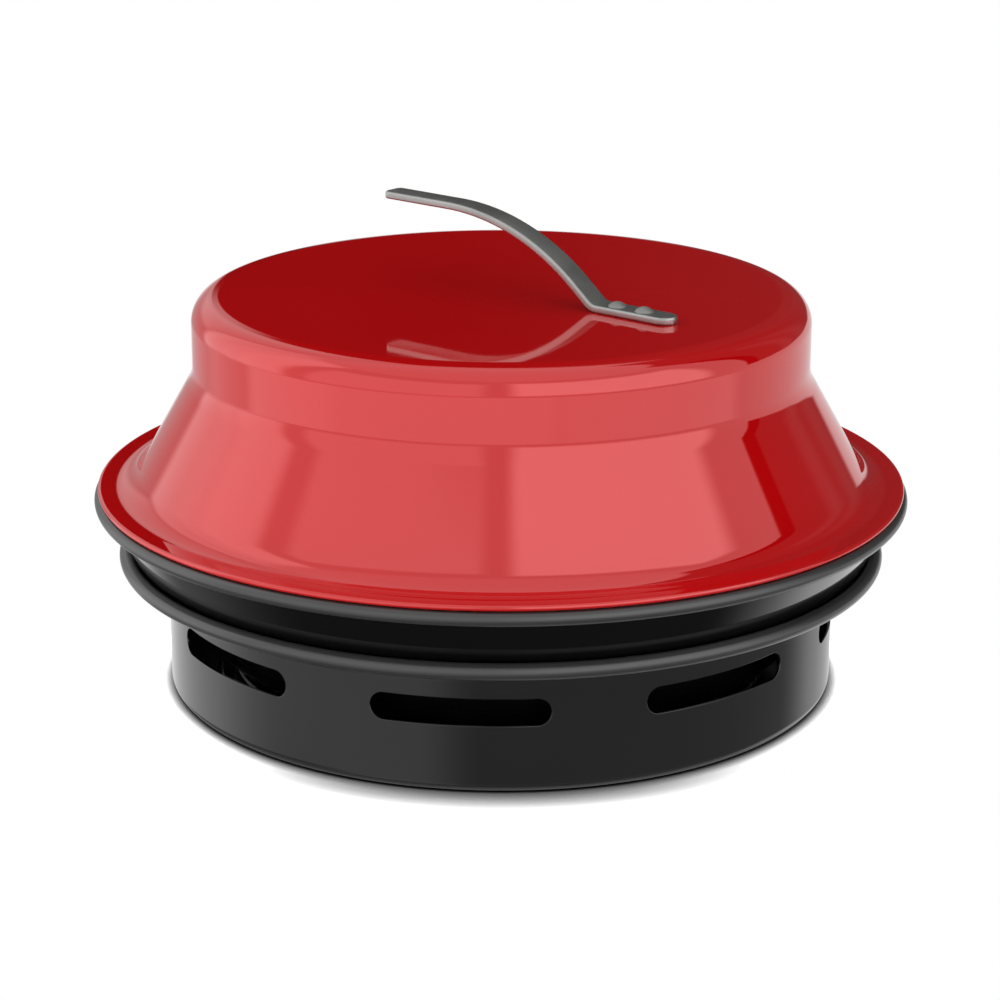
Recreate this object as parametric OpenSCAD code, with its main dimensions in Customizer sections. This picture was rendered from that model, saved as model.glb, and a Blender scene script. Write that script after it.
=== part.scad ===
// Portable tabletop charcoal cooker: slotted base, fire bowl, two wire grates and a lid with
// a bent strap handle. The pressings are enamelled sheet steel. Millimetres.
// Origin: centre of the standing face, +Z up, -Y is the front.

/* [Sheet] */
// Thickness of the enamelled sheet that every pressing is drawn from
sheet = 1.2; // [0.8:0.1:1.6]

/* [Base] */
// Outer diameter of the base skirt
base_d = 290; // [270:0.2:340]
// Height of the flange's underside above the ground
flange_z = 55; // [52:0.2:70]
// Reach of the flange beyond the skirt
flange_reach = 21.1; // [19:0.1:26]
// Outer diameter of the rolled edge round the flange
flange_bead_d = 6.9; // [6:0.1:9]
// Hollow radius between the skirt and the flange
flange_fillet = 8.5; // [5:0.1:10]
// Corner radius where the skirt meets the floor of the base
base_corner = 4; // [2.5:0.1:8]
// Width of the ring that the base stands on
foot_ring_w = 16; // [8:0.5:30]
// Height that the middle of the floor is pressed up
floor_rise = 2; // [1.8:0.1:4]

/* [Air slots] */
// Number of air slots round the skirt
slot_count = 8; // [4:1:10]
// Length of one slot, measured straight across from end to end
slot_length = 73.8; // [30:0.2:76]
// Height of a slot
slot_h = 11.5; // [6:0.5:14]
// Height of the slots' centre line above the ground
slot_z = 34.4; // [30:0.2:38]
// Turn of the first slot from the front, seen from above
slot_turn = -6.5; // [-22:0.5:22]

/* [Ash shield] */
// Outer diameter of the ash shield
shield_d = 236; // [180:1:244]
// Sheet thickness of the ash shield
shield_sheet = 0.8; // [0.6:0.1:1.2]
// Height of its upturned edge
shield_edge_h = 4.5; // [3:0.1:6]
// Length of the spacers under it
spacer_h = 3; // [2:0.1:5]
// Outer diameter of a spacer
spacer_d = 10; // [8:0.1:14]
// Number of spacers and rivets
spacer_count = 3; // [3:1:6]
// Radius of the circle that the rivets stand on
spacer_circle_r = 78; // [40:1:90]
// Diameter of a rivet's shank
rivet_d = 4; // [3:0.1:5]
// Diameter of a rivet's head
rivet_head_d = 7.6; // [6:0.1:9]
// Height of a rivet's head
rivet_head_h = 1.4; // [0.8:0.1:1.6]

/* [Fire bowl] */
// Gap round the bowl's lower wall, inside the base's skirt
bowl_side_gap = 7.8; // [5:0.1:24]
// Clear height between the ash shield and the bowl's floor
ash_space = 8; // [6:0.1:12]
// Corner radius between the bowl's floor and its lower wall
bowl_corner = 26; // [18:0.5:30]
// Bend radius between the lower wall and the seat
seat_bend = 5; // [2:0.1:6]
// Bend radius between the seat and the upper wall
rim_wall_bend = 2.4; // [2:0.1:4]
// Height of the rim's crest above the seat's underside
rim_rise = 30.4; // [24:0.1:40]
// Reach of the rim beyond the base flange
rim_reach = 9.9; // [7:0.1:14]
// Outer diameter of the rolled rim
rim_bead_d = 6; // [5:0.1:8]
// Number of air holes in the outer ring in the floor
air_hole_count = 12; // [6:1:16]
// Radius of the outer ring of air holes
air_ring_r = 78; // [50:1:88]
// Radius of the inner ring, which has half as many holes
air_ring_inner_r = 38; // [20:1:44]
// Diameter of an air hole
air_hole_d = 12; // [6:0.5:14]

/* [Wire grates] */
// Wire diameter of the grates' rims
rim_wire = 5; // [4:0.1:6]
// Wire diameter of the bars, ties and lifting loops
bar_wire = 4; // [3:0.1:5]
// Spacing of the cooking grate's bars
cooking_pitch = 13; // [9:0.5:18]
// Spacing of the charcoal grate's bars
charcoal_pitch = 17; // [12:0.5:24]
// Distance of each tie wire from the middle of its grate
cooking_tie_y = 52; // [30:1:80]
// Distance of each tie wire of the charcoal grate from its middle
charcoal_tie_y = 42; // [25:1:70]
// Where the charcoal grate's rim rests round the bowl's corner, up from straight down
charcoal_rest_angle = 45; // [35:1:60]
// Width of the cooking grate's lifting loops between wire centres
loop_w = 44; // [34:1:60]
// Height of the loops' top wire above the bars
loop_h = 17; // [12:0.5:20]
// Bend radius of the loops at the wire's centre
loop_bend = 7; // [4:0.5:9]
// Number of bars from the middle one to the one that a loop stands on
loop_bar_count = 9; // [5:1:10]

/* [Lid] */
// Distance that the lid's lip lies inside the rim's edge
lip_setback = 1.6; // [0.4:0.1:3]
// Width of the hem folded under the lip
hem_w = 4; // [3:0.1:6]
// Width of the lid's flange from the cone to the lip
lid_flange_w = 14.9; // [13:0.1:22]
// Hollow radius between the flange and the cone
cone_foot_fillet = 12.8; // [4:0.1:13]
// Height of the neck's lower edge above the flange
cone_h = 47.8; // [30:0.2:70]
// Height of the neck, from its lower edge to the flat top
neck_h = 33.8; // [20:0.1:45]
// Bend radius between the cone and the neck
neck_bend = 17; // [2:0.5:24]
// Diameter of the flat top
crown_d = 240; // [196:0.2:290]
// Width of the sloping ring from the flat top to the outside of the neck
crown_ring_w = 12.6; // [11:0.1:30]
// Slope of the ring round the flat top
crown_slope = 8; // [2:0.5:14]
// Bend radius between the flat top and the sloping ring
crown_bend = 14; // [3:0.5:20]
// Shoulder radius between the sloping ring and the neck
shoulder_r = 10.5; // [5:0.1:14]
// Depth of the strip under the flange that centres the lid in the bowl
centring_depth = 4; // [2:0.1:6]

/* [Handle] */
// Width of the handle strap
strap_w = 11.6; // [9:0.1:16]
// Thickness of the handle strap
strap_t = 3.2; // [2:0.1:4]
// Distance of the strap's bend from the lid's centre
bend_at = 52.4; // [35:0.2:58]
// Direction in which the strap runs over the lid from its foot to its tip
strap_azimuth = 140.4; // [0:0.2:360]
// Length of the strap's foot from the bend to its round end
foot_length = 39.8; // [34:0.2:56]
// Distance of the first screw from the bend
screw_first = 10; // [8.5:0.1:14]
// Distance between the two screws
screw_spacing = 14; // [12.6:0.1:20]
// Angle at which the strap leaves the lid
lift_angle = 39.5; // [30:0.5:60]
// Bend radius at the foot, at the strap's middle
foot_bend = 8; // [5:0.5:12]
// Straight length after the bend
riser_length = 9.5; // [1:0.5:16]
// Radius of the long arc, at the strap's middle
arc_radius = 109; // [60:1:130]
// Level length at the tip
grip_length = 35.5; // [25:0.5:60]
// Corner radius of the strap's tip
tip_corner = 2; // [0.5:0.1:4]
// Diameter of the handle screws' shank
screw_d = 4.8; // [3.8:0.1:5.8]
// Diameter of the screws' head
screw_head_d = 8; // [6.6:0.1:9]
// Height of the screws' head
screw_head_h = 2; // [1.2:0.1:3]
// Outer diameter of the washers inside the lid
washer_d = 12; // [10:0.1:14]
// Thickness of the washers
washer_t = 1; // [0.8:0.1:1.6]
// Width of the nuts across flats
nut_af = 8; // [7.5:0.1:10]
// Height of the nuts
nut_h = 4; // [3:0.1:5]
// Length of thread that stands out of each nut
screw_tail = 1; // [0.5:0.1:3]

/* [Clearances] */
// Gap between pieces that rest on each other and lift apart
rest_gap = 0.3; // [0.1:0.05:0.5]
// Gap between the bowl's wall and the rolled edge of the base
nest_gap = 0.6; // [0.4:0.1:1.5]
// Gap between the cooking grate's rim and the bowl's wall
grate_gap = 2; // [1:0.1:4]
// Gap between the centring strip and the bowl
centring_gap = 1.2; // [0.6:0.1:2]
// Radial gap between a screw and the holes it passes through
hole_gap = 0.2; // [0.1:0.05:0.4]
// Radial gap between a screw and its nut, or a rivet and its holes
thread_gap = 0.05; // [0.02:0.01:0.1]
// Gap at a weld between the ends of a wire and its rim
weld_gap = 0.2; // [0.1:0.05:0.4]

/* [Hidden] */

$fn = 96;
// largest step round an arc, in degrees, and the coarser one of the slots' ends
arc_step = 6;
slot_step = 15;
// how far a rolled edge turns before its cut end tucks in
curl_turn = 285;
// how far a cutting shape passes the surface that it cuts
cut = 1;

enamel_black = [0.03, 0.03, 0.035];
enamel_red = [0.75, 0.04, 0.05];
bare_steel = [0.62, 0.62, 0.6];
dark_steel = [0.24, 0.24, 0.24];

// Base
base_r = base_d / 2;
flange_r = base_r + flange_reach;
flange_bead_r = flange_bead_d / 2;
flange_bead_c = [flange_r - flange_bead_r, flange_z + flange_bead_r];
foot_ring_r = base_r - base_corner - foot_ring_w;
panel_slope_w = floor_rise;
panel_bend = 1.5 * sheet;

// Ash shield
shield_z = floor_rise + sheet + spacer_h;
shield_r = shield_d / 2;
shield_bend = 3 * shield_sheet;
shield_edge_lean = shield_edge_h / 3;

// Fire bowl
bowl_r = base_r - sheet - bowl_side_gap;
bowl_z = shield_z + shield_sheet + ash_space;
seat_z = flange_z + sheet + rest_gap;
rim_r = flange_r + rim_reach;
rim_bead_r = rim_bead_d / 2;
rim_z = seat_z + rim_rise;
rim_bead_c = [rim_r - rim_bead_r, rim_z - rim_bead_r];
// the wall passes the narrowest point of the base's rolled edge with the nest gap to spare
wall_pass = [flange_bead_c[0] - flange_bead_r - nest_gap, flange_bead_c[1]];
wall_angle = tangent_angle(wall_pass, rim_bead_c, rim_bead_r - sheet);
wall_foot_r = wall_r(seat_z);
wall_end = rim_bead_c + (rim_bead_r - sheet) * [-sin(wall_angle), cos(wall_angle)];
wall_inset = sheet / sin(wall_angle);
seat_top = seat_z + sheet;

// Grates
charcoal_c = [bowl_r - bowl_corner, bowl_z + bowl_corner]
  + (bowl_corner - sheet - rest_gap - rim_wire / 2)
  * [sin(charcoal_rest_angle), -cos(charcoal_rest_angle)];
cooking_z = seat_top + rest_gap + rim_wire / 2;
cooking_c = [wall_r(cooking_z) - wall_inset - grate_gap - rim_wire / 2, cooking_z];
cooking_top = cooking_c[1] + rim_wire / 2 + bar_wire;

// Lid
flange_top = rim_z + rest_gap + 2 * sheet;
lip_r = rim_r - lip_setback;
cone_foot_r = lip_r - lid_flange_w;
neck_z = flange_top + cone_h;
lid_top = neck_z + neck_h;
crown_r = crown_d / 2;
neck_r = crown_r + crown_ring_w;
shoulder_z = lid_top - (neck_r - crown_r) * tan(crown_slope);
// the strip hangs inside the narrowest part of the rolled rim
strip_r = rim_bead_c[0] - rim_bead_r - centring_gap;

// Handle
screw_hole_r = screw_d / 2 + hole_gap;
strap_top = lid_top + strap_t;
screw_end = lid_top - sheet - washer_t - nut_h - screw_tail;

// Angle of the line from point a that touches the circle of radius k round c and leaves it
// on the right
function tangent_angle(a, c, k) =
  atan2(c[1] - a[1], c[0] - a[0]) + asin(k / norm(c - a));

// Outer radius of the bowl's upper wall at height z
function wall_r(z) = wall_pass[0] + (z - wall_pass[1]) / tan(wall_angle);

function unit(a) = a / norm(a);
function left_of(a) = [-a[1], a[0]];
function turned(a, t) = [a[0] * cos(t) - a[1] * sin(t), a[0] * sin(t) + a[1] * cos(t)];
function xy(p) = [p[0], p[1]];
function reversed(list) = [for (i = [len(list) - 1 : -1 : 0]) list[i]];
function without_last(list) = [for (i = [0 : len(list) - 2]) list[i]];

// Points of an arc round c from angle a0 through a turn
function arc(c, r, a0, turn, step = arc_step) =
  let (n = max(2, ceil(abs(turn) / step)))
  [for (i = [0 : n]) c + r * [cos(a0 + turn * i / n), sin(a0 + turn * i / n)]];

// Rounded corner i of the path v, moved d to the left; v[i] = [x, y, corner radius]
function corner(v, i, d) =
  let (
    u = unit(xy(v[i]) - xy(v[i - 1])),
    w = unit(xy(v[i + 1]) - xy(v[i])),
    turn = atan2(u[0] * w[1] - u[1] * w[0], u * w),
    side = sign(turn),
    start = xy(v[i]) - u * v[i][2] * tan(abs(turn) / 2),
    c = start + left_of(u) * v[i][2] * side,
    spoke = -left_of(u) * side,
    n = max(2, ceil(abs(turn) / arc_step))
  )
  [for (k = [0 : n]) c + turned(spoke, turn * k / n) * (v[i][2] - side * d)];

// A path with rounded corners, moved d to the left of its direction
function path(v, d) =
  let (
    last = len(v) - 1,
    u0 = unit(xy(v[1]) - xy(v[0])),
    u1 = unit(xy(v[last]) - xy(v[last - 1])),
    corners = [for (i = [1 : last - 1]) each corner(v, i, d)]
  )
  concat([xy(v[0]) + left_of(u0) * d], corners, [xy(v[last]) + left_of(u1) * d]);

// Section of a sheet that follows path v, with its other face d to the left
function sheet_section(v, d) = concat(path(v, 0), reversed(path(v, d)));

// The same, ending in a rolled edge round c; near and far are the roll's radii on the two faces
function curled_section(v, d, c, near, far, a0, turn) =
  concat(
    without_last(path(v, 0)),
    arc(c, near, a0, turn),
    reversed(arc(c, far, a0, turn)),
    reversed(without_last(path(v, d)))
  );

module ring_of(count, radius, turn = 0) {
  for (i = [0 : count - 1])
    rotate([0, 0, turn + 360 * i / count])
      translate([radius, 0, 0])
        children();
}

// Round wire between two points on a line along Y
module wire_y(x, y0, y1, z, d) {
  translate([x, y0, z])
    rotate([-90, 0, 0])
      cylinder(h = y1 - y0, d = d);
}

module wire_ring(c, d) {
  rotate_extrude()
    translate(c)
      circle(d = d, $fn = 32);
}

// Round-ended slot through the skirt, centred on +X
module slot_cutter() {
  end_r = slot_h / 2;
  end_y = slot_length / 2 - end_r;
  inner = sqrt(pow(base_r - sheet, 2) - pow(slot_length / 2, 2)) - cut;
  translate([inner, 0, slot_z])
    rotate([90, 0, 90])
      linear_extrude(height = base_r + cut - inner)
        polygon(concat(
          arc([end_y, 0], end_r, -90, 180, slot_step),
          arc([-end_y, 0], end_r, 90, 180, slot_step)
        ));
}

// Bars of a round grate, lying on its rim
module grate_bars(c, pitch) {
  z = c[1] + (rim_wire + bar_wire) / 2;
  reach = floor((c[0] - bar_wire) / pitch);
  for (i = [-reach : reach])
    wire_y(i * pitch, -sqrt(pow(c[0], 2) - pow(i * pitch, 2)),
      sqrt(pow(c[0], 2) - pow(i * pitch, 2)), z, bar_wire);
}

// Two wires that tie the bars together from below, inside the rim
module grate_ties(c, tie_y) {
  z = c[1] + (rim_wire - bar_wire) / 2;
  inner = c[0] - rim_wire / 2 - weld_gap;
  for (side = [-1, 1])
    rotate([0, 0, 90])
      wire_y(side * tie_y, -sqrt(pow(inner, 2) - pow(tie_y + bar_wire / 2, 2)),
        sqrt(pow(inner, 2) - pow(tie_y + bar_wire / 2, 2)), z, bar_wire);
}

module base_shell() {
  outline = [
    [0, floor_rise],
    [foot_ring_r - panel_slope_w, floor_rise, panel_bend],
    [foot_ring_r, 0, panel_bend + sheet],
    [base_r, 0, base_corner],
    [base_r, flange_z, flange_fillet],
    [flange_bead_c[0], flange_z]
  ];
  color(enamel_black)
    difference() {
      rotate_extrude()
        polygon(curled_section(outline, sheet, flange_bead_c, flange_bead_r,
          flange_bead_r - sheet, -90, curl_turn));
      ring_of(slot_count, 0, slot_turn - 90)
        slot_cutter();
      ring_of(spacer_count, spacer_circle_r)
        translate([0, 0, floor_rise - cut])
          cylinder(h = sheet + 2 * cut, r = rivet_d / 2 + thread_gap);
    }
}

module ash_shield() {
  outline = [
    [0, shield_z],
    [shield_r - shield_edge_lean, shield_z, shield_bend],
    [shield_r, shield_z + shield_edge_h]
  ];
  color(bare_steel)
    difference() {
      rotate_extrude()
        polygon(sheet_section(outline, shield_sheet));
      ring_of(spacer_count, spacer_circle_r)
        translate([0, 0, shield_z - cut])
          cylinder(h = shield_sheet + 2 * cut, r = rivet_d / 2 + thread_gap);
    }
}

module ash_shield_spacers() {
  color(bare_steel)
    ring_of(spacer_count, spacer_circle_r)
      translate([0, 0, floor_rise + sheet])
        difference() {
          cylinder(h = spacer_h, d = spacer_d);
          translate([0, 0, -cut])
            cylinder(h = spacer_h + 2 * cut, r = rivet_d / 2 + thread_gap);
        }
}

// Rivet with a domed head above the shield and a flat one in the recess under the floor
module ash_shield_rivets() {
  top = shield_z + shield_sheet;
  dome_r = (pow(rivet_head_d / 2, 2) + pow(rivet_head_h, 2)) / (2 * rivet_head_h);
  half_angle = asin(rivet_head_d / 2 / dome_r);
  dome = arc([0, top + rivet_head_h - dome_r], dome_r, 90 - half_angle, half_angle);
  color(bare_steel)
    ring_of(spacer_count, spacer_circle_r)
      rotate_extrude()
        polygon(concat([
          [0, floor_rise - rivet_head_h],
          [rivet_head_d / 2, floor_rise - rivet_head_h],
          [rivet_head_d / 2, floor_rise],
          [rivet_d / 2, floor_rise],
          [rivet_d / 2, top]
        ], dome));
}

module fire_bowl() {
  outline = [
    [0, bowl_z],
    [bowl_r, bowl_z, bowl_corner],
    [bowl_r, seat_z, seat_bend],
    [wall_foot_r, seat_z, rim_wall_bend],
    wall_end
  ];
  color(enamel_black)
    difference() {
      rotate_extrude()
        polygon(curled_section(outline, sheet, rim_bead_c, rim_bead_r - sheet, rim_bead_r,
          90 + wall_angle, -curl_turn));
      ring_of(air_hole_count, air_ring_r)
        translate([0, 0, bowl_z - cut])
          cylinder(h = sheet + 2 * cut, d = air_hole_d);
      ring_of(floor(air_hole_count / 2), air_ring_inner_r)
        translate([0, 0, bowl_z - cut])
          cylinder(h = sheet + 2 * cut, d = air_hole_d);
    }
}

module charcoal_grate_rim() {
  color(bare_steel)
    wire_ring(charcoal_c, rim_wire);
}

module charcoal_grate_bars() {
  color(bare_steel)
    grate_bars(charcoal_c, charcoal_pitch);
}

module charcoal_grate_ties() {
  color(bare_steel)
    grate_ties(charcoal_c, charcoal_tie_y);
}

module cooking_grate_rim() {
  color(bare_steel)
    wire_ring(cooking_c, rim_wire);
}

module cooking_grate_bars() {
  color(bare_steel)
    grate_bars(cooking_c, cooking_pitch);
}

module cooking_grate_ties() {
  color(bare_steel)
    grate_ties(cooking_c, cooking_tie_y);
}

// Quarter bend of a loop, from a leg that rises along Z into a wire that runs along +Y
module loop_corner() {
  translate([0, loop_bend, 0])
    rotate([90, 0, -90])
      rotate_extrude(angle = 90)
        translate([loop_bend, 0])
          circle(d = bar_wire, $fn = 32);
}

module cooking_grate_loops() {
  leg = loop_h - loop_bend;
  color(bare_steel)
    for (side = [-1, 1])
      translate([side * loop_bar_count * cooking_pitch, 0, cooking_top]) {
        for (turn = [0, 180])
          rotate([0, 0, turn])
            translate([0, -loop_w / 2, 0]) {
              cylinder(h = leg, d = bar_wire, $fn = 32);
              translate([0, 0, leg])
                loop_corner();
            }
        translate([0, -loop_w / 2 + loop_bend, loop_h])
          rotate([-90, 0, 0])
            cylinder(h = loop_w - 2 * loop_bend, d = bar_wire, $fn = 32);
      }
}

// Places its children at the strap's bend, with +X along the foot towards its round end
module at_foot() {
  rotate([0, 0, strap_azimuth + 180])
    translate([bend_at, 0, 0])
      children();
}

module at_screws() {
  at_foot()
    for (x = [screw_first, screw_first + screw_spacing])
      translate([x, 0, 0])
        children();
}

module lid_shell() {
  outline = [
    [0, lid_top],
    [crown_r, lid_top, crown_bend],
    [neck_r, shoulder_z, shoulder_r],
    [neck_r, neck_z, neck_bend],
    [cone_foot_r, flange_top, cone_foot_fillet],
    [lip_r - sheet, flange_top]
  ];
  fold = arc([lip_r - sheet, flange_top - sheet], sheet, 90, -180);
  hem_end = [[lip_r - hem_w, flange_top - 2 * sheet], [lip_r - hem_w, flange_top - sheet]];
  color(enamel_red)
    difference() {
      rotate_extrude()
        polygon(concat(
          without_last(path(outline, 0)),
          fold,
          hem_end,
          reversed(without_last(path(outline, -sheet)))
        ));
      at_screws()
        translate([0, 0, lid_top - sheet - cut])
          cylinder(h = sheet + 2 * cut, r = screw_hole_r);
    }
}

module lid_centring_strip() {
  color(enamel_red)
    rotate_extrude()
      translate([strip_r - sheet, flange_top - sheet - centring_depth])
        square([sheet, centring_depth]);
}

module handle_strap() {
  half = strap_t / 2;
  bend_c = [foot_bend * tan(lift_angle / 2), lid_top + half + foot_bend];
  bend_end = bend_c - foot_bend * [sin(lift_angle), cos(lift_angle)];
  riser_end = bend_end + riser_length * [-cos(lift_angle), sin(lift_angle)];
  arc_c = riser_end - arc_radius * [sin(lift_angle), cos(lift_angle)];
  tip_x = arc_c[0] - grip_length;
  // the strap seen from its side, first along its underside and back along its upper face
  side = concat(
    [[foot_length, lid_top]],
    arc(bend_c, foot_bend + half, -90, -lift_angle),
    arc(arc_c, arc_radius - half, 90 - lift_angle, lift_angle),
    [[tip_x, arc_c[1] + arc_radius - half], [tip_x, arc_c[1] + arc_radius + half]],
    reversed(arc(arc_c, arc_radius + half, 90 - lift_angle, lift_angle)),
    reversed(arc(bend_c, foot_bend - half, -90, -lift_angle)),
    [[foot_length, strap_top]]
  );
  // the strap seen from above, with its round foot and its slightly rounded tip
  plan = concat(
    arc([foot_length - strap_w / 2, 0], strap_w / 2, -90, 180),
    arc([tip_x + tip_corner, strap_w / 2 - tip_corner], tip_corner, 90, 90),
    arc([tip_x + tip_corner, tip_corner - strap_w / 2], tip_corner, 180, 90)
  );
  color(dark_steel)
    difference() {
      at_foot()
        intersection() {
          rotate([90, 0, 0])
            linear_extrude(height = strap_w + 2 * cut, center = true)
              polygon(side);
          translate([0, 0, lid_top - cut])
            linear_extrude(height = arc_radius)
              polygon(plan);
        }
      at_screws()
        translate([0, 0, lid_top - cut])
          cylinder(h = strap_t + 2 * cut, r = screw_hole_r);
    }
}

module handle_screws() {
  dome_r = (pow(screw_head_d / 2, 2) + pow(screw_head_h, 2)) / (2 * screw_head_h);
  half_angle = asin(screw_head_d / 2 / dome_r);
  dome = arc([0, strap_top + screw_head_h - dome_r], dome_r, 90 - half_angle, half_angle);
  color(dark_steel)
    at_screws()
      rotate_extrude()
        polygon(concat([
          [0, screw_end],
          [screw_d / 2, screw_end],
          [screw_d / 2, strap_top]
        ], dome));
}

module handle_washers() {
  color(bare_steel)
    at_screws()
      translate([0, 0, lid_top - sheet - washer_t])
        difference() {
          cylinder(h = washer_t, d = washer_d);
          translate([0, 0, -cut])
            cylinder(h = washer_t + 2 * cut, r = screw_hole_r);
        }
}

module handle_nuts() {
  color(bare_steel)
    at_screws()
      translate([0, 0, lid_top - sheet - washer_t - nut_h])
        difference() {
          cylinder(h = nut_h, d = nut_af / cos(30), $fn = 6);
          translate([0, 0, -cut])
            cylinder(h = nut_h + 2 * cut, r = screw_d / 2 + thread_gap);
        }
}

base_shell();
ash_shield();
ash_shield_spacers();
ash_shield_rivets();
fire_bowl();
charcoal_grate_rim();
charcoal_grate_bars();
charcoal_grate_ties();
cooking_grate_rim();
cooking_grate_bars();
cooking_grate_ties();
cooking_grate_loops();
lid_shell();
lid_centring_strip();
handle_strap();
handle_screws();
handle_washers();
handle_nuts();
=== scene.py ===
"""Portable tabletop charcoal cooker: enamel, wire and strap finishes, a white studio and a camera.

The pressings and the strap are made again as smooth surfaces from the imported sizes. The grates,
the ash shield and the fasteners keep their own meshes and get finishes here. Metres throughout.
"""

import math

import bmesh
import bpy
import numpy as np
from mathutils import Matrix, Vector


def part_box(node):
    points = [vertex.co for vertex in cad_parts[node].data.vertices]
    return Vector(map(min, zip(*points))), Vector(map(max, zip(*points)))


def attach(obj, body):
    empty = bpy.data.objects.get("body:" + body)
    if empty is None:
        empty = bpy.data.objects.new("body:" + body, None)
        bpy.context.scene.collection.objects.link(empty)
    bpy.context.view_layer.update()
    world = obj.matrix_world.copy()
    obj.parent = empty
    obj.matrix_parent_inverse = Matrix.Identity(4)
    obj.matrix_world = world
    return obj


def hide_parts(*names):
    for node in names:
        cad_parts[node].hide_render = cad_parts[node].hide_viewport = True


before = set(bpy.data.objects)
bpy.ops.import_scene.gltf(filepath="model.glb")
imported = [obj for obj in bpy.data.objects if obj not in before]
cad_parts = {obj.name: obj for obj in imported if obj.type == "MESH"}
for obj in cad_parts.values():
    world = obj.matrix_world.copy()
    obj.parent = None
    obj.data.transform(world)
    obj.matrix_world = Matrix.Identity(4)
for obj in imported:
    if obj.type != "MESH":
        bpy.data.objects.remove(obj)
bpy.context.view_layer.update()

MM = 0.001

# Sheet metal, and the steps of its arcs in degrees
SHEET = 1.2 * MM
EDGE = 0.25 * MM
SEGMENTS = 256
ARC_STEP = 4
CURL_STEP = 8
HEM_STEP = 15

# Base
BASE_R = 145 * MM
BASE_CORNER = 4 * MM
FOOT_RING_W = 16 * MM
FLOOR_RISE = 2 * MM
FLANGE_Z = 55 * MM
FLANGE_FILLET = 8.5 * MM
CURL_TURN = 285

# Air slots, and the wall panel round each: where its rows lie between its border and its slot,
# how many edge radii outside the slot they end, its points up a side and those beside a side
# that belong to the slot's round end
SLOT_COUNT = 8
SLOT_LENGTH = 73.8 * MM
SLOT_H = 11.5 * MM
SLOT_Z = 34.4 * MM
SLOT_TURN = -6.5
SLOT_MARGIN = 6 * MM
SLOT_ROWS = (0.0, 0.25, 0.5, 0.7, 0.84, 0.93, 0.98)
SLOT_LIP = 1.6
PANEL_POINTS_UP = 14
PANEL_END_POINTS = 7

# Fire bowl
BOWL_R = 136 * MM
BOWL_CORNER = 26 * MM
SEAT_BEND = 5 * MM
RIM_WALL_BEND = 2.4 * MM
RIM_BEAD_R = 3 * MM
REST_GAP = 0.3 * MM
NEST_GAP = 0.6 * MM
AIR_HOLE_RINGS = ((12, 78 * MM), (6, 38 * MM))
AIR_HOLE_R = 6 * MM
AIR_HOLE_SIDES = 32
SHARP_ANGLE = 40

# Lid
HEM_W = 4 * MM
LID_FLANGE_W = 14.9 * MM
CONE_FOOT_FILLET = 12.8 * MM
CROWN_R = 120 * MM
CROWN_BEND = 14 * MM
CROWN_SLOPE = 8
NECK_R = 132.6 * MM
NECK_H = 33.8 * MM
NECK_BEND = 17 * MM
SHOULDER_R = 10.5 * MM

# Handle strap
STRAP_W = 11.6 * MM
STRAP_T = 3.2 * MM
STRAP_EDGE = 1.0 * MM
BEND_AT = 52.4 * MM
STRAP_AZIMUTH = 140.4
FOOT_LENGTH = 39.8 * MM
LIFT_ANGLE = 39.5
FOOT_BEND = 8 * MM
RISER_LENGTH = 9.5 * MM
ARC_RADIUS = 109 * MM
GRIP_LENGTH = 35.5 * MM
TIP_CORNER = 2 * MM
FOOT_STEPS = 13
GRIP_STEPS = 24
SECTION_STEPS = 8

# Camera, aimed at the cooker's axis
CAMERA_DISTANCE = 1.3405
CAMERA_ELEVATION = 17.43
CAMERA_AIM = Vector((-0.0004, 0, 0.0774))
CAMERA_LENS = 110.43
CAMERA_ROLL = 0.15

# The floor: its half lengths, its sides, the share of its reach where it starts to fade, the
# paint that makes it white, and its contact shadow: how far that reaches and how steeply it
# falls, beside the base and in front of it, and between which base radii the front one takes over
FLOOR_REACH = (158 * MM, 182 * MM, 1.0)
FLOOR_SIDES = 96
FLOOR_FADE = 0.95
FLOOR_WHITE = 5.0
SIDE_SHADOW = (6.5 * MM, 3.2)
FRONT_SHADOW = (29 * MM, 4.5)
FRONT_BLEND = (0.45, 1.05)

# Light on dull surfaces: its mean level and its slope along x, y and z
SOFT_LIGHT = (1.01, -0.19, -0.03, -0.15)

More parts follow.
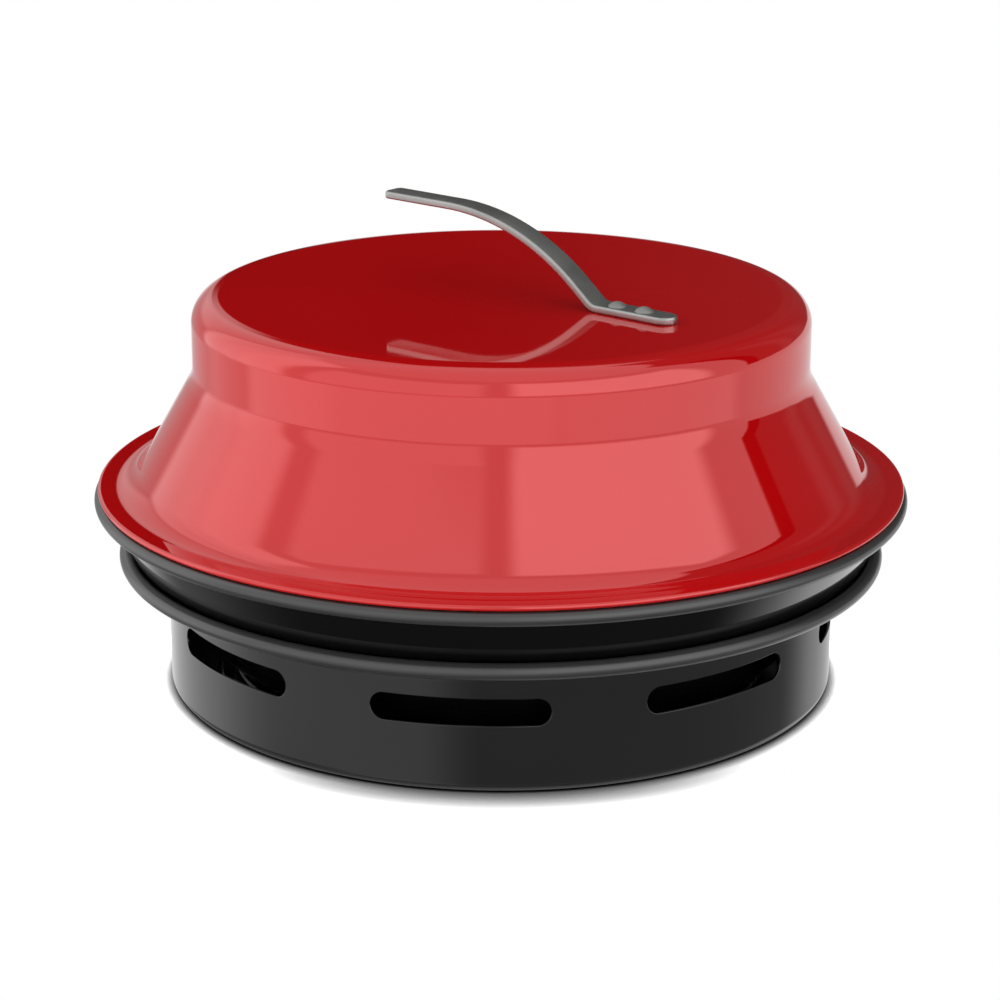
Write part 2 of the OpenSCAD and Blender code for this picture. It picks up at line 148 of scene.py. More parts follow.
# The room that glossy surfaces mirror. Each panel has its azimuth, from the front to the right,
# half its width, how soft its sides are, its lowest and highest elevation, how soft those ends
# are, all in degrees, and its level. Later panels stand before the earlier ones.
ROOM_LEVEL = 0.81
PANELS = (
    # overhead
    (0, 180, 1, 56, 100, 4, 1.0),
    # softboxes on the left
    (-112, 25.5, 3.5, -11, 54, 4, 1.22),
    (-103, 17, 5, -11, 54, 4, 1.4),
    (-97, 11, 5, -11, 54, 4, 1.62),
    (-40, 33.5, 3.5, -9, 42, 3, 1.24),
    # softbox on the right
    (42, 37.8, 4, -7, 46, 3, 1.83),
    # behind on the left
    (-156, 18, 3, -14, 46, 4, 0.47),
    (-154, 16, 6, 9, 46, 4, 0.8),
    # far floor
    (-40, 62, 6, -19, -13, 0.8, 1.25),
    (-84, 20, 5, -19, -13, 0.8, 1.35),
    (58, 38, 6, -19, -13, 0.8, 1.2),
    (130, 34, 6, -19, -1.5, 1.5, 0.85),
    (-154, 20, 6, -19, -13, 1.5, 0.6),
    (180, 14, 5, -25, 0, 3, 0.9),
    # dark window on the right, with its pale curtains
    (127, 28, 0.8, -2, 61, 1.2, 0.1),
    (102.2, 3.2, 0.8, -2, 50, 1.2, 0.0),
    (127, 4, 3, -2, 40, 3, 0.17),
    (141.5, 4, 3, -2, 33, 3, 0.13),
    # dark wall behind
    (170.3, 19, 0.8, -1, 47, 3, 0.008),
    (160, 14, 8, -1, 50, 3, 0.065),
    # near floor
    (0, 180, 1, -91, -18.8, 0.8, 0.27),
    (-75, 57, 12, -91, -18.8, 0.8, 0.64),
    (-138, 40, 18, -91, -18.8, 0.8, 1.0),
    (155, 32, 12, -91, -18.8, 0.8, 0.8),
    (-105, 45, 15, -91, -24, 3, 0.25),
    (150, 34, 18, -91, -24, 3, 1.2),
    (0, 180, 1, -91, -48, 10, 0.04),
    (150, 34, 18, -91, -48, 10, 0.8),
)

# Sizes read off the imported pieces
RIM_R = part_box("fire_bowl")[1][0]
RIM_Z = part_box("fire_bowl")[1][2]
BOWL_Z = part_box("fire_bowl")[0][2]
FLANGE_BEAD_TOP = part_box("base_shell")[1][2]
FLANGE_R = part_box("base_shell")[1][0]
LIP_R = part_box("lid_shell")[1][0]
LID_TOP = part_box("lid_shell")[1][2]
FLANGE_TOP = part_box("lid_shell")[0][2] + 2 * SHEET


# Outlines


def unit(v):
    """The direction of v, one long."""
    return v / np.linalg.norm(v)


def rounded_path(corners, offset=0.0):
    """A path through (x, y, radius) corners, moved sideways by offset, positive to its left.

    Each corner is an arc that touches both its straights. Close beside every arc and before the
    path's end the straight gets a point of its own, so that smooth shading keeps it flat."""
    pts = np.array([c[:2] for c in corners], float)
    radii = [c[2] if len(c) > 2 else 0.0 for c in corners]
    out = [pts[0] + offset * left(unit(pts[1] - pts[0]))]
    for i in range(1, len(pts) - 1):
        u, w = unit(pts[i] - pts[i - 1]), unit(pts[i + 1] - pts[i])
        turn = math.atan2(u[0] * w[1] - u[1] * w[0], u @ w)
        side = math.copysign(1, turn)
        reach = radii[i] * math.tan(abs(turn) / 2)
        centre = pts[i] - u * reach + left(u) * radii[i] * side
        steps = max(3, math.ceil(math.degrees(abs(turn)) / ARC_STEP))
        a = math.atan2(*(-left(u) * side)[::-1]) + turn * np.linspace(0, 1, steps + 1)
        ring = centre + (radii[i] - side * offset) * np.stack([np.cos(a), np.sin(a)], 1)
        out += [ring[0] - u * EDGE, *ring, ring[-1] + w * EDGE]
    last = unit(pts[-1] - pts[-2])
    end = pts[-1] + offset * left(last)
    return np.array([*out, end - last * EDGE, end])


def left(v):
    """v turned to its left by a quarter turn."""
    return np.array([-v[1], v[0]])


def arc(centre, radius, start, turn, step=ARC_STEP):
    """Points of an arc at equal angles, from start on over turn, both in degrees."""
    count = max(2, math.ceil(abs(turn) / step))
    a = np.radians(start + turn * np.linspace(0, 1, count + 1))
    return np.asarray(centre) + radius * np.stack([np.cos(a), np.sin(a)], 1)


def curled_sheet(corners, offset, centre, near, far, start, turn):
    """Both faces of a sheet that ends in a rolled edge, as one open line from axis to axis."""
    return np.concatenate([
        rounded_path(corners)[:-1],
        arc(centre, near, start, turn, CURL_STEP),
        arc(centre, far, start, turn, CURL_STEP)[::-1],
        rounded_path(corners, offset)[:-1][::-1],
    ])


# Meshes


def new_piece(name, verts, faces, material, slot, body, *replaced):
    """A closed smooth mesh that rides on a body and stands for the nodes that it replaces."""
    mesh = bpy.data.meshes.new(name)
    mesh.from_pydata(np.asarray(verts).tolist(), [], faces)
    mesh.validate()
    mesh.shade_smooth()
    mesh.materials.append(material)
    piece = bpy.data.objects.new(name, mesh)
    bpy.context.scene.collection.objects.link(piece)
    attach(piece, body)
    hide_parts(*replaced)
    return piece


def grid_faces(rows, columns):
    """Quads between neighbouring rows and columns of a grid whose columns close up."""
    i, j = np.meshgrid(np.arange(rows - 1), np.arange(columns), indexing="ij")
    k = (j + 1) % columns
    quads = np.stack([i * columns + j, i * columns + k, (i + 1) * columns + k,
                      (i + 1) * columns + j], -1)
    return quads.reshape(-1, 4)


def round_angles(count):
    """Angles that go once round in equal steps, in radians."""
    return 2 * np.pi * np.arange(count) / count


def rings(line, angles):
    """The points (r cos a, r sin a, z) of an (r, z) line at each of the angles a, row by row."""
    return np.stack([
        line[:, :1] * np.cos(angles), line[:, :1] * np.sin(angles),
        np.broadcast_to(line[:, 1:], (len(line), len(angles))),
    ], -1).reshape(-1, 3)


def fan(tip, row, turn):
    """Triangles between a pole's point and the ring that starts at row; turn -1 flips them."""
    j = np.arange(SEGMENTS)
    sides = [row + (j + 1) % SEGMENTS, row + j]
    return np.stack([np.full(SEGMENTS, tip), *sides[::turn]], 1)


def revolved(profile):
    """The surface (r cos a, r sin a, z) of an (r, z) profile whose two ends lie on the axis.

    The first and last point become poles that close the surface with a fan each."""
    body = profile[1:-1]
    verts = rings(body, round_angles(SEGMENTS))
    poles = [[0, 0, profile[0][1]], [0, 0, profile[-1][1]]]
    count = len(verts)
    faces = listed([grid_faces(len(body), SEGMENTS), fan(count, 0, 1),
                    fan(count + 1, count - SEGMENTS, -1)])
    return np.concatenate([verts, poles]), faces


def listed(faces):
    """Arrays of faces as one list."""
    return sum((group.tolist() for group in faces), [])


# Shader maths


class Socket:
    """A node's output that takes part in Python expressions, each adding a Math node."""

    def __init__(self, tree, link):
        self.tree = tree
        self.link = link

    def math(self, operation, *values):
        return self.tree.add("ShaderNodeMath", {"operation": operation}, self, *values)

    def __add__(self, other):
        return self.math("ADD", other)

    def __sub__(self, other):
        return self.math("SUBTRACT", other)

    def __rsub__(self, other):
        return self.tree.add("ShaderNodeMath", {"operation": "SUBTRACT"}, other, self)

    def __mul__(self, other):
        return self.math("MULTIPLY", other)

    __radd__ = __add__
    __rmul__ = __mul__


class Tree:
    """The node tree of a material or world, with one method that adds any node."""

    def __init__(self, owner):
        owner.use_nodes = True
        self.nodes = owner.node_tree.nodes
        self.links = owner.node_tree.links
        self.nodes.clear()

    def add(self, kind, settings=None, *values, output=0, **named):
        """Adds a node, sets its settings, then its sockets by place or name."""
        node = self.nodes.new(kind)
        for key, value in (settings or {}).items():
            setattr(node, key, value)
        for key, value in [*enumerate(values), *named.items()]:
            name = key if isinstance(key, int) else key.replace("_", " ")
            self.put(node.inputs[name], value)
        return Socket(self, node.outputs[output])

    def put(self, socket, value):
        """Links a socket or gives it a constant; None leaves it alone."""
        if isinstance(value, Socket):
            self.links.new(value.link, socket)
        elif value is not None:
            socket.default_value = value

    def finish(self, kind, surface):
        """Joins a surface to the output."""
        self.put(self.nodes.new(kind).inputs["Surface"], surface)

    def step(self, value, low, high):
        """0 below low, 1 above high and smooth between them."""
        return self.add("ShaderNodeMapRange", {"interpolation_type": "SMOOTHSTEP"},
                        value, low, high, 0.0, 1.0)

    def ray(self, kind):
        """1 for this kind of ray and 0 for others."""
        return self.add("ShaderNodeLightPath", output=kind)

    def noise(self, where, scale, detail=2.0, roughness=0.5):
        return self.add("ShaderNodeTexNoise", None, Vector=where, Scale=scale, Detail=detail,
                        Roughness=roughness)

    def mix(self, factor, first, second):
        """A colour between two colours, on the sockets that a Mix node has for them."""
        return self.add("ShaderNodeMix", {"data_type": "RGBA"}, factor,
                        *(None,) * 5, first, second, output=2)


def rgb(r, g, b):
    return (r, g, b, 1.0)


def new_material(name):
    material = bpy.data.materials.new(name)
    return material, Tree(material)


# Materials

# Painted sheen: the grey put on black enamel's rolled edge and at its foot so that they read
# lighter, as their reflection does, how much rougher it gets there and over what distance it
# changes
ROLLED_SHEEN_GREY = rgb(0.03, 0.03, 0.03)
ROLLED_ROUGH = 0.27
ROLLED_SOFT = 0.4 * MM
FOOT_SHEEN_GREY = rgb(0.03, 0.03, 0.03)
FOOT_ROUGH = 0.6
FOOT_BAND = 2.8 * MM

# Scales of the enamel's noises, per metre
CLOUD_SCALE = 9.0
GRAIN_SCALE = 1400.0
SMEAR_SCALE = 22.0
RIPPLE_SCALE = 90.0
PIT_SCALE = 420.0

# Scale of the tarnish on steel, per metre, and how deep its drawing lines are
PATCH_SCALE = 60.0
LINE_DEPTH = 0.02 * MM


def enamel(name, colour, deep, roughness, ior, depth, peel, edge_r=1.0, foot_z=-1.0):
    """Glossy fired enamel: its mirror image takes a share, depth, of its colour.

    Its colour clouds from deep to colour, orange peel of the height peel ripples it, and soft
    smears dull it a little. Beyond the radius edge_r, on a rolled edge, it is rougher and painted
    grey, a painted sheen that makes the edge read lighter, and so is the band just below foot_z,
    where the grey is a painted reflection. Neither place is on a piece by default."""
    material, t = new_material(name)
    here = t.add("ShaderNodeTexCoord", output="Object")
    level = t.add("ShaderNodeVectorMath", {"operation": "MULTIPLY"}, here, (1, 1, 0))
    radius = t.add("ShaderNodeVectorMath", {"operation": "LENGTH"}, level, output="Value")
    rolled = t.step(radius, edge_r - ROLLED_SOFT, edge_r + ROLLED_SOFT)
    clouds = t.noise(here, CLOUD_SCALE, 3.0)
    grains = t.noise(here, GRAIN_SCALE, 2.0)
    smears = t.step(t.noise(here, SMEAR_SCALE, 4.0, 0.6), 0.45, 0.75)
    ripples = t.noise(here, RIPPLE_SCALE, 1.0)
    pits = t.noise(here, PIT_SCALE, 2.0)
    peel_bump = t.add("ShaderNodeBump", None, Strength=1.0, Distance=peel,
                      Height=ripples * 0.8 + pits * 0.2)
    shade = t.step(clouds * 0.8 + grains * 0.2, 0.3, 0.7)
    height = t.add("ShaderNodeVectorMath", {"operation": "DOT_PRODUCT"}, here, (0, 0, 1),
                   output="Value")
    # painted sheen: the rolled edge and the band at the foot are painted grey, and made rougher
    foot_sheen_band = 1 - t.step(height, foot_z - FOOT_BAND, foot_z)
    colour_and_sheen = t.mix(foot_sheen_band, t.mix(rolled, t.mix(shade, deep, colour), ROLLED_SHEEN_GREY), FOOT_SHEEN_GREY)
    rough = smears * 0.03 + grains * 0.02 + rolled * ROLLED_ROUGH + foot_sheen_band * FOOT_ROUGH + roughness
    t.finish("ShaderNodeOutputMaterial", t.add(
        "ShaderNodeBsdfPrincipled", None, IOR=ior, Metallic=depth, Normal=peel_bump,
        Base_Color=colour_and_sheen, Roughness=rough))
    return material


def steel(name, colour, roughness, grain, stretch):
    """Bare steel with fine drawing lines, noise that stretch pulls out, and darker tarnish."""
    material, t = new_material(name)
    here = t.add("ShaderNodeTexCoord", output="Object")
    drawn = t.add("ShaderNodeMapping", None, Vector=here, Scale=stretch)
    lines = t.noise(drawn, grain, 3.0, 0.6)
    patches = t.noise(here, PATCH_SCALE, 3.0)
    dark = rgb(*(0.8 * c for c in colour[:3]))
    bump = t.add("ShaderNodeBump", None, Strength=0.4, Distance=LINE_DEPTH, Height=lines)
    clean = t.step(lines * 0.5 + patches * 0.5, 0.3, 0.7)
    t.finish("ShaderNodeOutputMaterial", t.add(
        "ShaderNodeBsdfPrincipled", None, Metallic=1.0, Normal=bump,
        Base_Color=t.mix(clean, dark, colour), Roughness=lines * 0.15 + patches * 0.1 + roughness))
    return material


RED_ENAMEL = enamel("red_enamel", rgb(0.63, 0.003, 0.005), rgb(0.6, 0.0025, 0.004),
                    0.02, 1.8, 0.18, 0.003 * MM)
BLACK = (rgb(0.0035, 0.0033, 0.0037), rgb(0.0025, 0.0024, 0.0026), 0.03, 1.65, 0.0, 0.003 * MM)
BASE_ENAMEL = enamel("black_enamel_base", *BLACK, FLANGE_R - FLANGE_BEAD_TOP + FLANGE_Z,
                     BASE_CORNER)
BOWL_ENAMEL = enamel("black_enamel_bowl", *BLACK, RIM_R - 2 * RIM_BEAD_R)
STRAP_STEEL = steel("strap_steel", rgb(0.42, 0.42, 0.41), 0.28, 900.0, (1, 1, 1))
FASTENER_STEEL = steel("fastener_steel", rgb(0.33, 0.33, 0.32), 0.5, 900.0, (1, 1, 1))
SHIELD_STEEL = steel("shield_steel", rgb(0.8, 0.8, 0.8), 0.15, 400.0, (1, 12, 1))
GRATE_CHROME = steel("grate_chrome", rgb(0.75, 0.75, 0.76), 0.12, 600.0, (1, 1, 1))
GRATE_WIRE = steel("grate_wire", rgb(0.35, 0.35, 0.35), 0.4, 600.0, (1, 1, 1))


def finish_nodes(material, *nodes):
    """Gives the cooker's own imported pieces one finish."""
    for node in nodes:
        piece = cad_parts[node]
        piece.data.materials.clear()
        piece.data.materials.append(material)


# Pressings


def make_base():
    """The base: a floor, a skirt with round-ended slots, a flange and its rolled edge."""
    bead_r = (FLANGE_BEAD_TOP - FLANGE_Z) / 2
    bead_c = (FLANGE_R - bead_r, FLANGE_Z + bead_r)
    foot_r = BASE_R - BASE_CORNER - FOOT_RING_W
    corners = [
        (0, FLOOR_RISE),
        (foot_r - FLOOR_RISE, FLOOR_RISE, 1.5 * SHEET),
        (foot_r, 0, 2.5 * SHEET),
        (BASE_R, 0, BASE_CORNER),
        (BASE_R, FLANGE_Z, FLANGE_FILLET),
        (bead_c[0], FLANGE_Z),
    ]
    profile = curled_sheet(corners, SHEET, bead_c, bead_r, bead_r - SHEET, -90, CURL_TURN)
    verts, faces = slotted(profile)
    piece = new_piece("base_pressing", verts, faces, BASE_ENAMEL, "enamel_black", "base",
                      "base_shell")
    true_cylinder(piece.data)


def true_cylinder(mesh):
    """Gives the skirt's wall, where its faces are uneven round the slots, a cylinder's normals."""
    verts = read(mesh.vertices, "co", 3)
    corners = verts[read(mesh.loops, "vertex_index")]
    facing = np.repeat(read(mesh.polygons, "normal", 3), read(mesh.polygons, "loop_total"), 0)
    normals = read(mesh.corner_normals, "vector", 3)
    radial = corners * (1, 1, 0)
    radial /= np.maximum(np.linalg.norm(radial, axis=1), 1e-9)[:, None]
    lean = (facing * radial).sum(1)
    panel = np.abs(corners[:, 2] - SLOT_Z) < SLOT_H / 2 + SLOT_MARGIN + EDGE
    wall = panel & (np.abs(lean) > 0.999)
    normals[wall] = radial[wall] * np.sign(lean[wall])[:, None]
    mesh.normals_split_custom_set(normals.tolist())


def read(items, name, width=1):
    """One attribute of all the items of a mesh as an array."""
    values = np.empty(len(items) * width, np.int32 if width == 1 else np.float32)
    items.foreach_get(name, values)
    return values if width == 1 else values.reshape(-1, width)


def slotted(profile):
    """The revolved profile with its skirt replaced by a wall that has the air slots in it.

    Around each slot the wall is a ring grid: one parameter runs round the slot's outline and
    the wall panel's border, the other goes from the border to the slot's edge, over a rounded
    edge, through the sheet and back out on the inner face."""
    low, high = SLOT_Z - SLOT_H / 2 - SLOT_MARGIN, SLOT_Z + SLOT_H / 2 + SLOT_MARGIN
    outer = np.flatnonzero(profile[:, 0] > BASE_R - 1e-6)
    rise = outer[profile[outer, 1] < low][-1]
    after = outer[profile[outer, 1] > high][0]
    inner = np.flatnonzero(np.abs(profile[:, 0] - BASE_R + SHEET) < 1e-6)
    drop = inner[(profile[inner, 1] > high) & (inner > after)][-1]
    resume = inner[(profile[inner, 1] < low) & (inner > after)][0]
    angles = round_angles(SEGMENTS) + math.radians(SLOT_TURN - 90)
    floor = np.concatenate([profile[:rise + 1], [[BASE_R, low]]])
    rim = np.concatenate([[[BASE_R, high]], profile[after:drop + 1], [[BASE_R - SHEET, high]]])
    inside = np.concatenate([[[BASE_R - SHEET, low]], profile[resume:]])
    verts, faces = [], []

    def add(points, *groups):
        start = sum(len(v) for v in verts)
        verts.append(points)
        faces.extend(group + start for group in groups)

    under = rings(floor[1:], angles)
    add(np.vstack([under, [0, 0, floor[0, 1]]]),
        grid_faces(len(floor) - 1, SEGMENTS), fan(len(under), 0, 1))
    add(rings(rim, angles), grid_faces(len(rim), SEGMENTS))
    upper = rings(inside[:-1], angles)
    add(np.vstack([upper, [0, 0, inside[-1, 1]]]),
        grid_faces(len(inside) - 1, SEGMENTS), fan(len(upper), len(upper) - SEGMENTS, -1))
    for n in range(SLOT_COUNT):
        add(*slot_panel(n, low, high))
    return weld(np.concatenate(verts), faces)


def slot_panel(n, low, high):
    """One sector of the skirt's wall with its slot, laid out as x along the wall and z up it.

    The first rows lie at (1 - t) border + t edge on the outer face. The next ones go over a
    quarter circle on each face, and the last lead back to the border on the inner face. A point
    at x and radius r then stands at the sector's own angle plus x / BASE_R."""
    across, up, turn = SEGMENTS // SLOT_COUNT, PANEL_POINTS_UP, PANEL_END_POINTS
    half = math.pi / SLOT_COUNT * BASE_R
    low, high = low - SLOT_Z, high - SLOT_Z
    sides = [((-half, low), (half, low), across), ((half, low), (half, high), up),
             ((half, high), (-half, high), across), ((-half, high), (-half, low), up)]
    border = np.concatenate([np.linspace(a, b, count, endpoint=False) for a, b, count in sides])
    core, out = slot_outline(len(border), across, up, turn)
    edge = core + out * SLOT_H / 2
    rows = [(border * (1 - t) + (edge + out * EDGE * SLOT_LIP) * t, BASE_R) for t in SLOT_ROWS]
    for face, sign, angles in ((BASE_R, -1, (0, 30, 60, 90)), (BASE_R - SHEET, 1, (90, 60, 30, 0))):
        for a in np.radians(angles):
            rows.append((edge + out * EDGE * (1 - math.sin(a)),
                         face + sign * EDGE * (1 - math.cos(a))))
    rows += [(place, BASE_R - SHEET) for place, _ in rows[len(SLOT_ROWS) - 1::-1]]
    centre = math.radians(SLOT_TURN - 90) + 2 * np.pi * n / SLOT_COUNT
    points = [np.stack([r * np.cos(centre + at[:, 0] / BASE_R),
                        r * np.sin(centre + at[:, 0] / BASE_R), at[:, 1] + SLOT_Z], 1)
              for at, r in rows]
    return np.concatenate(points), grid_faces(len(rows), len(border))


def slot_outline(count, across, up, turn):
    """For each point of a panel's border, a point of the slot's middle line and the way out.

    Along the long sides the way out stays square to them. At each end it turns through half a
    circle, evenly over the border's upright side and the last few points beside it."""
    stops = np.array([-turn - up, turn, across - turn, across + up + turn,
                      2 * across + up - turn, 2 * across + 2 * up + turn])
    i = np.arange(count)
    reach = SLOT_LENGTH / 2 - SLOT_H / 2
    x = np.interp(i, stops, np.array([-1, -1, 1, 1, -1, -1]) * reach)
    a = np.radians(np.interp(i, stops, [-270, -90, -90, 90, 90, 270]))
    return np.stack([x, 0 * x], 1), np.stack([np.cos(a), np.sin(a)], 1)


def weld(verts, faces):
    """Joins points that lie within a micrometre of each other."""
    keys = np.round(verts * 1e6).astype(np.int64)
    _, first, place = np.unique(keys, axis=0, return_index=True, return_inverse=True)
    return verts[first], listed(place.reshape(-1)[group] for group in faces)


def make_fire_bowl():
    """The fire bowl: a floor with air holes, a seat on the base, a wall and a rolled rim."""
    seat_z = FLANGE_Z + SHEET + REST_GAP
    bead_c = np.array([RIM_R - RIM_BEAD_R, RIM_Z - RIM_BEAD_R])
    flange_bead_r = (FLANGE_BEAD_TOP - FLANGE_Z) / 2
    start = np.array([FLANGE_R - 2 * flange_bead_r - NEST_GAP, FLANGE_Z + flange_bead_r])
    across = bead_c - start
    lean = math.atan2(across[1], across[0]) + math.asin((RIM_BEAD_R - SHEET)
                                                        / np.linalg.norm(across))
    foot_r = start[0] + (seat_z - start[1]) / math.tan(lean)
    end = bead_c + (RIM_BEAD_R - SHEET) * np.array([-math.sin(lean), math.cos(lean)])
    corners = [
        (0, BOWL_Z),
        (BOWL_R, BOWL_Z, BOWL_CORNER),
        (BOWL_R, seat_z, SEAT_BEND),
        (foot_r, seat_z, RIM_WALL_BEND),
        tuple(end),
    ]
    profile = curled_sheet(corners, SHEET, bead_c, RIM_BEAD_R - SHEET, RIM_BEAD_R,
                           90 + math.degrees(lean), -CURL_TURN)
    piece = new_piece("fire_bowl_pressing", *revolved(profile), BOWL_ENAMEL, "enamel_black",
                      "fire_bowl", "fire_bowl")
    punch(piece, BOWL_Z)


def punch(piece, z):
    """Cuts the rings of air holes through the bowl's flat floor and keeps their edges crisp.

    A punch is a closed many-sided cylinder, repeated round both rings."""
    punch_line = np.array([(AIR_HOLE_R, z - SHEET), (AIR_HOLE_R, z + 3 * SHEET)])
    one = rings(punch_line, round_angles(AIR_HOLE_SIDES))
    centres = np.concatenate([rings(np.array([(ring_r, 0)]), round_angles(count))
                              for count, ring_r in AIR_HOLE_RINGS])
    around = np.arange(AIR_HOLE_SIDES)
    closed = [grid_faces(2, AIR_HOLE_SIDES), np.stack([around[::-1], around + AIR_HOLE_SIDES])]
    faces = [group + n * len(one) for n in range(len(centres)) for group in closed]
    mesh = bpy.data.meshes.new("punches")
    mesh.from_pydata((centres[:, None] + one).reshape(-1, 3).tolist(), [], listed(faces))
    cutter = bpy.data.objects.new("punches", mesh)
    bpy.context.scene.collection.objects.link(cutter)
    cut = piece.modifiers.new("air_holes", "BOOLEAN")
    cut.operation = "DIFFERENCE"
    cut.solver = "EXACT"
    cut.object = cutter
    bpy.context.view_layer.update()
    depsgraph = bpy.context.evaluated_depsgraph_get()
    pierced = bpy.data.meshes.new_from_object(piece.evaluated_get(depsgraph))
    piece.modifiers.clear()
    piece.data = pierced
    pierced.set_sharp_from_angle(angle=math.radians(SHARP_ANGLE))
    bpy.data.objects.remove(cutter)


def make_lid():
    """The lid: flat top, shoulder, neck, cone, flange and the hem folded under its lip."""
    foot_r = LIP_R - LID_FLANGE_W
    neck_z = LID_TOP - NECK_H
    corners = [
        (0, LID_TOP),
        (CROWN_R, LID_TOP, CROWN_BEND),
        (NECK_R, LID_TOP - (NECK_R - CROWN_R) * math.tan(math.radians(CROWN_SLOPE)), SHOULDER_R),
        (NECK_R, neck_z, NECK_BEND),
        (foot_r, FLANGE_TOP, CONE_FOOT_FILLET),
        (LIP_R - SHEET, FLANGE_TOP),
    ]
    fold = arc((LIP_R - SHEET, FLANGE_TOP - SHEET), SHEET, 90, -180, HEM_STEP)
    hem_r = LIP_R - HEM_W
    hem = [[hem_r + EDGE, FLANGE_TOP - 2 * SHEET], [hem_r, FLANGE_TOP - 2 * SHEET + EDGE],
           [hem_r, FLANGE_TOP - SHEET - EDGE], [hem_r, FLANGE_TOP - SHEET]]
    profile = np.concatenate([
        rounded_path(corners)[:-1],
        fold,
        hem,
        rounded_path(corners, -SHEET)[:-1][::-1],
    ])
    new_piece("lid_pressing", *revolved(profile[::-1]), RED_ENAMEL, "enamel_red", "lid",
              "lid_shell")


# Handle


def strap_frame():
    """The matrix that puts the strap's own x, y, z at its bend, with x towards its foot."""
    turn = Matrix.Rotation(math.radians(STRAP_AZIMUTH + 180), 4, "Z")
    return turn @ Matrix.Translation((BEND_AT, 0, 0))


def strap_line():
    """The strap's middle line in its own x and z, from the foot's end to the tip."""
    half = STRAP_T / 2
    foot_z = LID_TOP + half
    lift = math.radians(LIFT_ANGLE)
    bend_c = np.array([FOOT_BEND * math.tan(lift / 2), foot_z + FOOT_BEND])
    bend = arc(bend_c, FOOT_BEND, -90, -LIFT_ANGLE, 3)
    along = np.array([-math.cos(lift), math.sin(lift)])
    riser_end = bend[-1] + RISER_LENGTH * along
    arch_c = riser_end - ARC_RADIUS * np.array([math.sin(lift), math.cos(lift)])
    arch = arc(arch_c, ARC_RADIUS, 90 - LIFT_ANGLE, LIFT_ANGLE, 1)
    tip = arch[-1] - [GRIP_LENGTH, 0]
    ease = np.cos(np.linspace(0, np.pi / 2, FOOT_STEPS + 1))[:-1]
    foot = np.stack([bend[0][0] + (FOOT_LENGTH - bend[0][0]) * ease,
                     np.full(FOOT_STEPS, foot_z)], 1)
    grip = arch[-1] + (tip - arch[-1]) * np.sin(np.linspace(0, np.pi / 2, GRIP_STEPS))[1:, None]
    return np.concatenate([foot, bend, arch[1:], grip])


def make_strap():
    """The strap: a rounded rectangle carried along its middle line and narrowed at both ends.

    A point of the section is a corner's sign times half the width or thickness, less the edge's
    radius, plus that radius times the cosine or sine of its angle on the rounded corner."""
    line = strap_line()
    steps = np.diff(line, axis=0)
    lengths = np.concatenate([[0], np.cumsum(np.linalg.norm(steps, axis=1))])
    along = np.gradient(line, lengths, axis=0)
    along /= np.linalg.norm(along, axis=1, keepdims=True)
    up = np.stack([along[:, 1], -along[:, 0]], 1)
    half_w = end_width(lengths, STRAP_W / 2, STRAP_W / 2)
    half_w = np.minimum(half_w, end_width(lengths[-1] - lengths, STRAP_W / 2, TIP_CORNER))
    section = rounded_section(SECTION_STEPS)
    side = section[:, 0][None] * (half_w[:, None] - STRAP_EDGE) + section[:, 2][None] * STRAP_EDGE
    rise = section[:, 1][None] * (STRAP_T / 2 - STRAP_EDGE) + section[:, 3][None] * STRAP_EDGE
    x = line[:, :1] + up[:, :1] * rise
    z = line[:, 1:] + up[:, 1:] * rise
    rows, columns = x.shape
    verts = np.stack([x, side, z], -1).reshape(-1, 3)
    place = np.array(strap_frame())
    verts = verts @ place[:3, :3].T + place[:3, 3]
    faces = grid_faces(rows, columns).tolist()
    faces.append(list(range(columns))[::-1])
    faces.append(list(range((rows - 1) * columns, rows * columns)))
    piece = new_piece("strap", verts, faces, STRAP_STEEL, "handle_steel", "lid", "handle_strap")
    recalculate(piece)


def end_width(distance, half, radius):
    """Half width at a distance d from an end whose corners have this radius r.

    It is half - r + the square root of r squared less (r - d) squared, and half beyond r."""
    inside = np.clip(radius - distance, 0, radius)
    return np.maximum(half - radius + np.sqrt(np.maximum(radius ** 2 - inside ** 2, 0)),
                      1.2 * STRAP_EDGE)


def rounded_section(steps):
    """Signs of the corners and unit arc offsets round a rectangle with rounded corners."""
    signs = np.array([(1, 1), (-1, 1), (-1, -1), (1, -1)])
    a = np.radians(90 * np.arange(4)[:, None] + np.linspace(0, 90, steps)).reshape(-1)
    return np.column_stack([np.repeat(signs, steps, 0), np.cos(a), np.sin(a)])


def recalculate(piece):
    """Turns every face of a closed piece outwards."""
    mesh = bmesh.new()
    mesh.from_mesh(piece.data)
    bmesh.ops.recalc_face_normals(mesh, faces=mesh.faces)
    mesh.to_mesh(piece.data)
    mesh.free()


# Studio


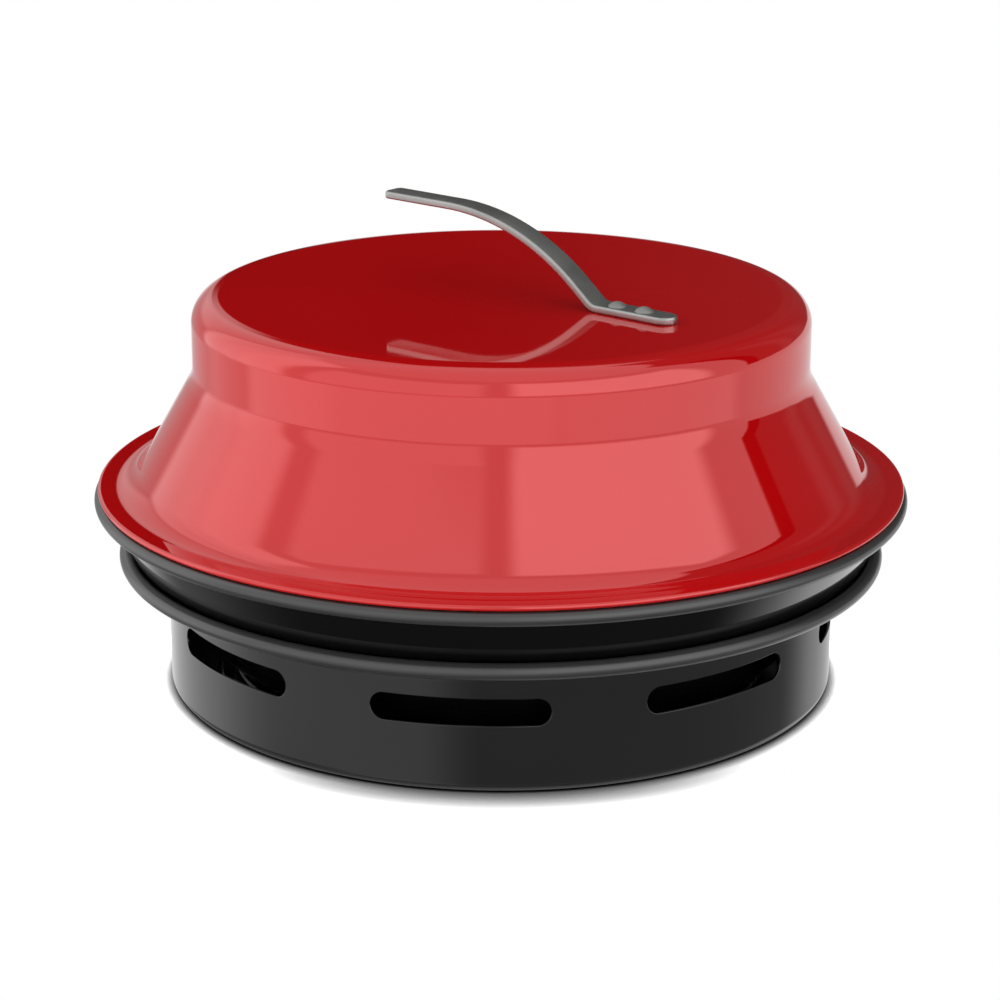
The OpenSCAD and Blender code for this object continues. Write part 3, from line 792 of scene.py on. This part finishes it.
def make_floor():
    """A white floor for the camera alone: it takes the cooker's shadow and fades out round it.

    The fade is an ellipse. The contact shadow reaches further in front of the base."""
    material, t = new_material("studio_floor")
    here = t.add("ShaderNodeTexCoord", output="Object")
    scaled = t.add("ShaderNodeVectorMath", {"operation": "DIVIDE"}, here, FLOOR_REACH)
    reach = t.add("ShaderNodeVectorMath", {"operation": "LENGTH"}, scaled, output="Value")
    forward = t.add("ShaderNodeVectorMath", {"operation": "DOT_PRODUCT"}, here,
                    (0, -1 / BASE_R, 0), output="Value")
    beside, before = (
        t.add("ShaderNodeAmbientOcclusion", {"samples": 16}, output="AO", Distance=distance)
        .math("POWER", steepness) for distance, steepness in (SIDE_SHADOW, FRONT_SHADOW))
    shade = beside + t.step(forward, *FRONT_BLEND) * (before - beside)
    paper = t.mix(shade, rgb(0, 0, 0), rgb(FLOOR_WHITE, FLOOR_WHITE, FLOOR_WHITE))
    seen = t.ray("Is Camera Ray") * (1 - t.step(reach, FLOOR_FADE, 1.0))
    t.finish("ShaderNodeOutputMaterial", t.add(
        "ShaderNodeMixShader", None, seen, t.add("ShaderNodeBsdfTransparent"),
        t.add("ShaderNodeBsdfDiffuse", None, paper)))
    a = round_angles(FLOOR_SIDES)
    verts = 1.02 * np.stack([FLOOR_REACH[0] * np.cos(a), FLOOR_REACH[1] * np.sin(a), 0 * a], 1)
    mesh = bpy.data.meshes.new("floor")
    mesh.from_pydata(verts.tolist(), [], [list(range(FLOOR_SIDES))])
    mesh.materials.append(material)
    floor = bpy.data.objects.new("floor", mesh)
    bpy.context.scene.collection.objects.link(floor)


def make_world():
    """The studio: white for the camera, panels for glossy rays, one soft slope for the rest."""
    world = bpy.data.worlds.new("studio")
    # its light depends on the kind of ray, so it isn't sampled as a lamp
    world.cycles.sampling_method = "NONE"
    bpy.context.scene.world = world
    t = Tree(world)
    toward = t.add("ShaderNodeTexCoord", output="Generated")
    x, y, z = (t.add("ShaderNodeSeparateXYZ", None, toward, output=axis) for axis in "XYZ")
    azimuth = x.math("ARCTAN2", y * -1) * math.degrees(1)
    elevation = z.math("ARCSINE") * math.degrees(1)
    level = ROOM_LEVEL
    for middle, half, side, low, high, end, panel in PANELS:
        inside = t.step(elevation, low - end, low + end)
        inside = inside * (1 - t.step(elevation, high - end, high + end))
        if half < 180:
            apart = (azimuth - middle).math("WRAP", 180, -180).math("ABSOLUTE")
            inside = inside * (1 - t.step(apart, half - side, half + side))
        level = inside * (panel - level) + level
    slope = x * SOFT_LIGHT[1] + y * SOFT_LIGHT[2] + z * SOFT_LIGHT[3] + SOFT_LIGHT[0]
    soft = slope.math("MAXIMUM", 0.0)
    diffuse = t.ray("Is Diffuse Ray")
    lit = level + diffuse * (soft - level)
    white = t.ray("Is Camera Ray").math("MAXIMUM", t.ray("Is Transmission Ray"))
    t.finish("ShaderNodeOutputWorld", t.add("ShaderNodeBackground", None, rgb(1, 1, 1),
                                            lit + white * (1 - lit)))


def make_camera():
    """The camera: on a line from its aim at its elevation, rolled by a trace."""
    data = bpy.data.cameras.new("camera")
    data.lens = CAMERA_LENS
    data.sensor_width = 36
    data.sensor_fit = "HORIZONTAL"
    data.clip_start = 0.05
    data.clip_end = 50
    camera = bpy.data.objects.new("camera", data)
    bpy.context.scene.collection.objects.link(camera)
    e = math.radians(CAMERA_ELEVATION)
    back = Vector((0, -math.cos(e), math.sin(e)))
    camera.location = CAMERA_AIM + back * CAMERA_DISTANCE
    turn = (-back).to_track_quat("-Z", "Y").to_matrix()
    camera.rotation_euler = (turn @ Matrix.Rotation(math.radians(CAMERA_ROLL), 3, "Z")).to_euler()
    bpy.context.scene.camera = camera


make_base()
make_fire_bowl()
make_lid()
make_strap()
finish_nodes(SHIELD_STEEL, "ash_shield", "ash_shield_spacers", "ash_shield_rivets")
finish_nodes(GRATE_WIRE, "charcoal_grate_rim", "charcoal_grate_bars", "charcoal_grate_ties")
finish_nodes(GRATE_CHROME, "cooking_grate_rim", "cooking_grate_bars", "cooking_grate_ties",
             "cooking_grate_loops")
finish_nodes(RED_ENAMEL, "lid_centring_strip")
finish_nodes(FASTENER_STEEL, "handle_screws", "handle_washers", "handle_nuts")
make_floor()
make_world()
make_camera()

bpy.context.scene.view_settings.view_transform = "Standard"
